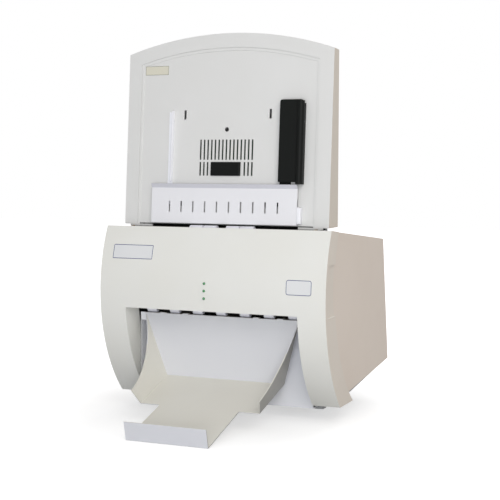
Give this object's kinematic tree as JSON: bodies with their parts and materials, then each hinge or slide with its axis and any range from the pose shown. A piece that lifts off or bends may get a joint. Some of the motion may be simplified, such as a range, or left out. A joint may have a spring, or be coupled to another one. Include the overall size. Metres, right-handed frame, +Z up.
{
  "type": "x-ray film digitizer",
  "caption": "Desk-top scanner for x-ray films: curved front bezel, arched film feeder above with sliding film guides, roller transport inside and a bent sheet exit tray below.",
  "frame": {"origin": "centre of the whole object's footprint box, on the surface it stands on", "axes": "+X to the right seen from the front, +Y to the back, +Z up"},
  "size_m": [0.54, 0.684, 0.8586],
  "materials": {
    "bezel_plastic": "fine-textured moulded plastic",
    "feeder_plastic": "fine-textured moulded plastic",
    "cover_paint": "textured beige powder coat",
    "tray_paint": "smooth off-white powder coat",
    "plate_paint": "smooth white powder coat",
    "zinc": "zinc plated sheet",
    "steel": "ground steel",
    "black_plastic": "black moulded plastic",
    "dark_paint": "matt black paint",
    "white_roller": "white silicone rubber",
    "black_rubber": "black rubber",
    "belt_rubber": "neoprene",
    "aluminium": "machined",
    "bronze": "sintered bronze",
    "board": "green circuit board",
    "led_green": "tinted clear plastic",
    "lamp_glass": "opal glass",
    "lens_glass": "coated glass"
  },
  "bodies": {
    "case": {"front_bezel": "bezel_plastic", "status_leds": "led_green", "led_board": "board", "base_pan": "zinc", "rubber_feet": "black_rubber", "front_plate": "plate_paint", "right_side_frame": "zinc", "left_side_frame": "zinc", "shaft_bushes": "bronze", "rear_cover": "cover_paint", "rear_panel": "cover_paint", "fan_frame": "black_plastic", "power_inlet": "black_plastic", "switch_housing": "black_plastic", "data_ports": "zinc", "exit_tray": "tray_paint", "feeder_frame": "feeder_plastic", "feeder_panel": "feeder_plastic", "feeder_back": "feeder_plastic", "sensor_block": "black_plastic", "film_stop_plate": "plate_paint", "pinion_stud": "steel", "guide_rod": "steel", "rod_brackets": "zinc", "feeder_board": "board", "feeder_seats": "black_plastic", "entry_deck": "dark_paint", "timing_belt": "belt_rubber", "drive_motor": "black_plastic", "rear_film_guide": "dark_paint", "front_film_guide": "dark_paint", "lamp_housing": "zinc", "lamp_tube": "lamp_glass", "lamp_sockets": "black_plastic", "optics_hood": "dark_paint", "lens": "lens_glass", "camera_housing": "aluminium", "camera_bracket": "zinc", "power_supply": "zinc", "main_board": "board"},
    "right_guide": {"right_film_guide": "black_plastic"},
    "left_guide": {"left_film_guide": "plate_paint"},
    "guide_gear": {"guide_pinion": "aluminium"},
    "entry_drive": {"entry_drive_shaft": "steel", "entry_drive_rollers": "black_rubber", "entry_pulley": "aluminium"},
    "entry_pinch": {"entry_pinch_shaft": "steel", "entry_pinch_rollers": "white_roller"},
    "exit_drive": {"exit_drive_shaft": "steel", "exit_drive_rollers": "white_roller", "exit_pulley": "aluminium"},
    "exit_pinch": {"exit_pinch_shaft": "steel", "exit_pinch_rollers": "black_rubber"},
    "motor_rotor": {"motor_pulley": "aluminium"},
    "fan_rotor": {"fan_impeller": "black_plastic"},
    "power_switch": {"power_rocker": "black_plastic"}
  },
  "joints": [
    {"name": "right_guide_slide", "type": "slide", "parent": "case", "child": "right_guide", "axis": [1, 0, 0], "range_m": [-0.029, 0.048]},
    {"name": "left_guide_slide", "type": "slide", "parent": "case", "child": "left_guide", "axis": [1, 0, 0], "range_m": [-0.048, 0.029]},
    {"name": "guide_gear_spin", "type": "hinge", "parent": "case", "child": "guide_gear", "pos_m": [0, -0.03185, 0.48162], "axis": [0, 0.9967, -0.0809], "range_deg": [-140, 231]},
    {"name": "exit_drive_spin", "type": "hinge", "parent": "case", "child": "exit_drive", "pos_m": [0, -0.05801, 0.24], "axis": [1, 0, 0], "continuous": true},
    {"name": "exit_pinch_spin", "type": "hinge", "parent": "case", "child": "exit_pinch", "pos_m": [0, -0.0621, 0.25526], "axis": [1, 0, 0], "continuous": true},
    {"name": "entry_drive_spin", "type": "hinge", "parent": "case", "child": "entry_drive", "pos_m": [0, -0.04231, 0.418], "axis": [1, 0, 0], "continuous": true},
    {"name": "entry_pinch_spin", "type": "hinge", "parent": "case", "child": "entry_pinch", "pos_m": [0, -0.06031, 0.422], "axis": [1, 0, 0], "continuous": true},
    {"name": "motor_spin", "type": "hinge", "parent": "case", "child": "motor_rotor", "pos_m": [0, 0.05799, 0.29], "axis": [1, 0, 0], "continuous": true},
    {"name": "fan_spin", "type": "hinge", "parent": "case", "child": "fan_rotor", "pos_m": [-0.11, 0.30103, 0.25814], "axis": [0, 0.9881, 0.1535], "continuous": true},
    {"name": "power_rocker_tilt", "type": "hinge", "parent": "case", "child": "power_switch", "pos_m": [0.11, 0.32637, 0.14064], "axis": [0, -0.1535, 0.9881], "range_deg": [-16, 0]}
  ],
  "couplings": [
    {"joint": "left_guide_slide", "follows": "right_guide_slide", "ratio": -1},
    {"joint": "guide_gear_spin", "follows": "right_guide_slide", "rad_per_m": 83.333},
    {"joint": "exit_pinch_spin", "follows": "exit_drive_spin", "ratio": -1.3846},
    {"joint": "entry_drive_spin", "follows": "exit_drive_spin", "ratio": 1.125},
    {"joint": "entry_pinch_spin", "follows": "exit_drive_spin", "ratio": -0.9},
    {"joint": "motor_spin", "follows": "exit_drive_spin", "ratio": 1.6875}
  ]
}
